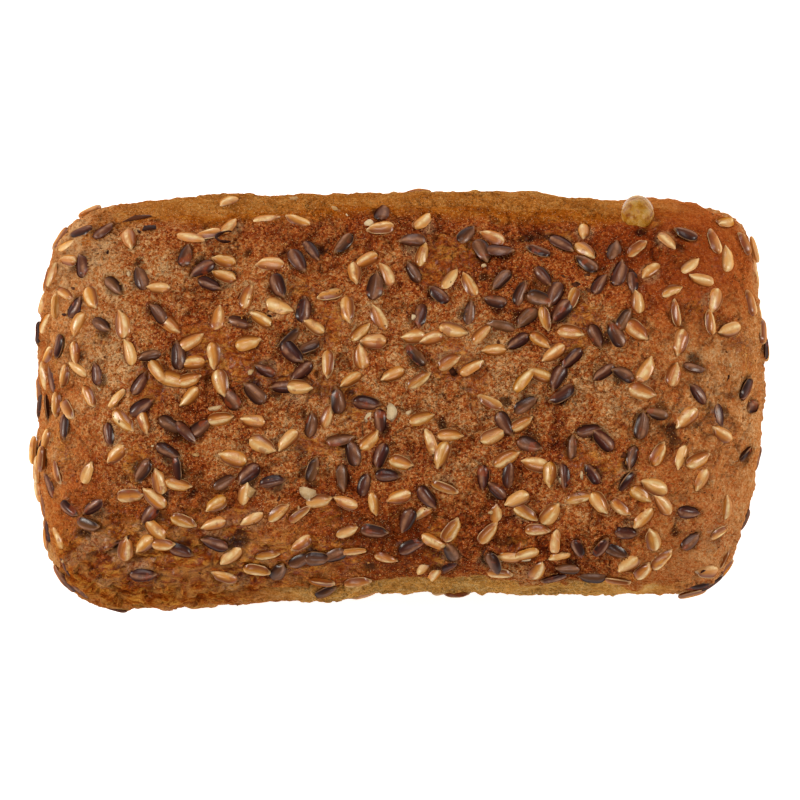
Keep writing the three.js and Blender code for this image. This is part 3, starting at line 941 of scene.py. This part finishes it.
def skin_facts(over, up, points, stain_and_shadow, cream):
    """How orange, pale, glazed, stained, crumbly and baked each point is, and where shade and highlights are
    painted.
    """
    walked = walk_of(over, up)
    ragged = 1.1 * tilted_noise(points, 2.4, 18) + 0.5 * tilted_noise(points, 0.9, 19)
    ragged -= 1.4 * smooth(over, 12, 36)
    past_crease = smooth(walked - crease_line(over, up) + ragged, -0.7, 0.1) * crease_share(over)
    past_crease *= np.where(up < 0, smooth(over, -36, -12), 1)
    foot = smooth(walked, FOOT_WALK - 11, FOOT_WALK - 1)
    back = (up > 0) & (np.abs(over) < HALF_LENGTH - 8)
    past_seeds = smooth(walked - walk_at_inset(BARE_STRIP_BACK) + 0.7 * ragged, -2.5, 0.5)
    past_seeds *= 1 - smooth(over, 38, 56)
    low = smooth(walked, BELLY_WALK - 8, BELLY_WALK + 6)
    end_rim = smooth(np.abs(over), HALF_LENGTH - 12, HALF_LENGTH)
    end_rim *= smooth(walked, BELLY_WALK - 11, BELLY_WALK + 1)
    baked = patches(over, up, BAKED)
    floury = patches(over, up, FLOURY)
    calm = np.maximum(smooth(over, 30, 54), smooth(-over, 48, 62))
    patch = smooth(tilted_noise(points, 9, 11), -0.3, 0.5)
    corner = wrinkled(over, up)
    smooth_patch = smooth(tilted_noise(points, 7, 13), 0.32, 0.62)
    on_top = 1 - smooth(walked, 0, 8)
    scorched = smooth(tilted_noise(points, 3.2, 12), 0.6, 0.82) * on_top
    corner_crumbs = smooth(tilted_noise(points, 3.6, 15), 0.3, 0.55) * smooth(corner, 0.2, 0.5)
    _, edge, flake = flakes(points)
    pale = np.where(back, 0.3, 1) * past_crease + low * lerp(0.5, 1, patch)
    return {
        "orange": np.where(back, past_seeds, 0),
        "pale": np.clip(pale, 0, 1 - 0.7 * foot),
        "glaze": np.maximum(corner, 0.8 * smooth_patch * on_top),
        "flake": flake,
        # painted highlight along the flake edges
        "edge": 0.7 * corner * edge * smooth(tilted_noise(points, 2.2, 16), -0.2, 0.3),
        "film": on_top * (0.06 + 0.2 * smooth_patch + 0.2 * corner),
        # painted shade in the cracks
        "crack_shade": valleys(points) * wrinkly(points) * lerp(0.35, 1, on_top),
        # stains and burnt spots, with the painted shadow ring round the seeds
        "stain_and_shadow": np.maximum(stain_and_shadow, 0.9 * scorched),
        "cream": np.maximum.reduce([cream, 0.6 * corner_crumbs, 0.9 * end_rim, floury]),
        "calm": 0.5 * calm + 0.2 * np.clip(baked, 0, 1),
        "baked": baked,
    }


def build_base(foot, material, names):
    """The flat underside, as rings inside the foot of the side. names are those of the facts of the skin."""
    rounds = [foot * [share, share, 1] for share in np.linspace(1, 0, BASE_RINGS + 1)[:-1]]
    points = np.concatenate([*rounds, [[0, 0, 0]]])
    index = np.arange(len(points) - 1).reshape(BASE_RINGS, -1)
    faces = faces_between(index).tolist()
    faces += [[a, len(points) - 1, b] for a, b in zip(index[-1], np.roll(index[-1], -1))]
    facts = {name: np.full(len(points), BASE_FACTS.get(name, 0)) for name in names}
    make_piece("crust_base", points, faces, material, facts)


def build_roll():
    random = np.random.default_rng(SCENE_DRAW)
    over, up, turn, size, lean = strewn_seeds()
    seats = seat_seeds(over, up, turn, lean)
    golden = random.random(len(over)) < GOLDEN_SHARE
    rises = random.uniform(*SEED_RISE, len(over))
    for n in range(len(over)):
        close = np.hypot(over[:n] - over[n], up[:n] - up[n]) < CROWD["gap"]
        rises[n] += CROWD["lift"] * close.any()

    flat_over, flat_up, top_faces, rings = skin_grid()
    points, _ = fine_skin(flat_over, flat_up)
    stain_and_shadow, cream = press_beds(points, seats, size, golden, random)
    points[rings[-1], 2] = 0
    side_faces = faces_between(rings)
    normals = facing(points, np.concatenate([top_faces, side_faces]))
    facts = skin_facts(flat_over, flat_up, points, stain_and_shadow, cream)
    material = crust_material()
    for name, faces in (("crust_top", top_faces), ("crust_side", side_faces)):
        used, numbered = np.unique(faces, return_inverse=True)
        own = {label: values[used] for label, values in facts.items()}
        faces = numbered.reshape(-1, 4).tolist()
        make_piece(name, points[used], faces, material, own, normals=normals[used])
    build_base(points[rings[-1]], material, facts)

    seeds = (seats, size, rises, random)
    for kind, chosen in (("golden", golden), ("brown", ~golden)):
        looks = (seed_material(f"{kind}_seed_skin", *SEED_LOOKS[kind]), f"{kind}_seed")
        seeds_piece(f"{kind}_seeds", np.nonzero(chosen)[0], *seeds, *looks, SEED_THICKNESS[kind])
    return random


def strewn_bits(random, count, lengths, flatness, sunk):
    """Rows for bits_piece, strewn where seeds may lie."""
    rows = []
    while len(rows) < count:
        over, up = random.uniform(-HALF_LENGTH, HALF_LENGTH), random.uniform(-HALF_WIDTH, HALF_WIDTH)
        if random.random() < seed_chance(np.array([over]), np.array([up]))[0]:
            length = random.uniform(*lengths)
            width = length * random.uniform(0.45, 0.9)
            rows.append((over, up, length, width, length * flatness, random.uniform(0, math.tau), sunk))
    return rows


# Single bits: where the camera sees them, then length, width, height, turn and the share that is sunk
GRAIN_CHIPS = [
    (-33.9, -1.5, 3.2, 1.3, 0.9, 0.3, 0.2),
    (-5, -2.9, 4.2, 3, 1.4, 0.4, 0.35),
    (-1.6, -2.4, 4, 3.2, 1.6, 2, 0.3),
    (-17, -16.9, 3.7, 3.5, 2.2, 0, 0.35),
    (-27.4, -16.9, 2.6, 2.2, 1.4, 0.8, 0.3),
    (23.2, -29.2, 3, 2.2, 1.2, 1.1, 0.3),
    (-5.6, 32.3, 2.4, 2.2, 1.2, 0.5, 0.3),
    (-19.4, 36.9, 2.4, 1.2, 0.8, 0.1, 0.3),
    (-12, 35, 2, 1.2, 0.8, 2.4, 0.3),
    (-27.4, 5.1, 1.6, 1.2, 0.8, 0.7, 0.2),
]
BURNT_BITS = [
    (-48, 33.2, 8.6, 1.9, 1.3, -0.05, 0.35),
    (-45.8, 31.2, 3.4, 2, 1.2, 0.4, 0.3),
    (-10.2, 3.1, 4.4, 3, 0.9, 0.9, 0.5),
]
# Each piece of bits: its single ones, how many are strewn, their lengths, height over length and sunk share,
# the darkest and lightest tone, the roughness, and how many strewn points make the hull of a bit
BITS = [
    ("grain_chips", GRAIN_CHIPS, 26, (0.8, 1.8), 0.6, 0.35, [(196, 150, 92), (232, 206, 164)], 0.55, 16),
    ("burnt_bits", BURNT_BITS, 45, (0.9, 2.4), 0.35, 0.5, [(44, 18, 12), (96, 50, 26)], 0.5, 12),
    ("crust_crumbs", [], 4200, (0.25, 0.75), 0.7, 0.35, [(96, 40, 8), (214, 146, 72)], 0.5, 8),
]
BIT_SHAPES = 24
CURL_PLACE = (-32, 29.4)
CURL_RADIUS = 1.25
CURL_THICKNESS = 0.48
CURL_RISE = 0.9
CURL_TURN = (50, 310)
CURL_STEPS = 30
CURL_SIDES = 8
CURL_STRETCH = 1.2  # length over width of the ring
CURL_HEIGHT = 1.5  # height over thickness of the flake


def build_bits(random):
    for name, single, count, lengths, flatness, sunk, tones, roughness, corners in BITS:
        rows = [(*place_under(x, y), *rest) for x, y, *rest in single]
        rows += strewn_bits(random, count, lengths, flatness, sunk)
        bits_piece(name, rows, random, bit_material(name, *tones, roughness), corners)


def build_curl():
    """A burnt flake that has rolled up into an open ring, thin at both ends."""
    bend = np.linspace(*np.radians(CURL_TURN), CURL_STEPS)[:, None]
    side = np.linspace(0, math.tau, CURL_SIDES, endpoint=False)[None, :]
    taper = np.sqrt(np.sin(np.linspace(0.25, math.pi - 0.25, CURL_STEPS)))[:, None]
    thick = CURL_THICKNESS / 2 * (1 + 0.3 * np.sin(3 * bend)) * taper
    reach = CURL_RADIUS * (1 + 0.1 * np.sin(2 * bend + 1)) + thick * np.cos(side)
    rise = CURL_RISE + CURL_HEIGHT * thick * np.sin(side) + 0.2 * np.sin(2 * bend)
    ring = [CURL_STRETCH * reach * np.cos(bend), reach * np.sin(bend), rise]
    local = np.stack(ring, axis=-1).reshape(-1, 3)
    index = np.arange(len(local)).reshape(CURL_STEPS, CURL_SIDES)
    faces = [index[0, ::-1].tolist(), index[-1].tolist()]
    for first, second in zip(index[:-1], index[1:]):
        faces += np.stack([first, np.roll(first, -1), np.roll(second, -1), second], axis=-1).tolist()
    middle, *directions = seat_at(*place_under(*CURL_PLACE))
    points = middle + local @ np.stack(directions)
    own = {"own": np.zeros(len(points))}
    make_piece("burnt_curl", points, faces, bit_material("burnt_curl", *CURL_TONES, 0.4), own)


def build_blister():
    middle, along, across, out = seat_at(*BLISTER_PLACE)
    mesh = bmesh.new()
    bmesh.ops.create_uvsphere(mesh, u_segments=48, v_segments=28, radius=0.5)
    ball, faces = taken_apart(mesh)
    ball *= (1 + 0.04 * tilted_noise(ball, 0.35, 21))[:, None] * BLISTER_SIZES
    points = middle + out * BLISTER_LIFT + ball @ np.stack([along, across, out])
    make_piece("blister", points, faces, blister_material())


def add_camera():
    data = bpy.data.cameras.new("camera")
    data.sensor_width = SENSOR_WIDTH
    data.lens = SENSOR_WIDTH * (CAMERA_HEIGHT - BELLY_HEIGHT) / PICTURE_WIDTH
    data.clip_end = 10
    camera = new_object("camera", data)
    camera.location = (Vector((0, 0, CAMERA_HEIGHT)) - Vector(MIDDLE)) * METRES
    bpy.context.scene.camera = camera


def add_light(name, place, size, power, colour):
    """A soft square lamp that faces the middle of the roll."""
    data = bpy.data.lights.new(name, "AREA")
    data.size = size
    data.energy = power
    data.color = colour
    lamp = new_object(name, data)
    lamp.location = place
    lamp.rotation_euler = (Vector(LAMP_TARGET) - Vector(place)).to_track_quat("-Z", "Y").to_euler()


def add_studio():
    mesh = bpy.data.meshes.new("floor")
    signs = [(-1, -1), (1, -1), (1, 1), (-1, 1)]
    corners = [(x * FLOOR_REACH, y * FLOOR_REACH, FLOOR_LEVEL) for x, y in signs]
    mesh.from_pydata(corners, [], [[0, 1, 2, 3]])
    mesh.materials.append(floor_material())
    floor = new_object("floor", mesh)
    for lamp in LAMPS:
        add_light(*lamp)
    world = bpy.data.worlds.new("studio")
    world.use_nodes = True
    background = world.node_tree.nodes["Background"].inputs
    background["Color"].default_value = (*WARM, 1)
    background["Strength"].default_value = WORLD_LIGHT
    bpy.context.scene.world = world
    bpy.context.scene.view_settings.view_transform = "Standard"


add_camera()
add_studio()
random = build_roll()
build_bits(random)
build_curl()
build_blister()
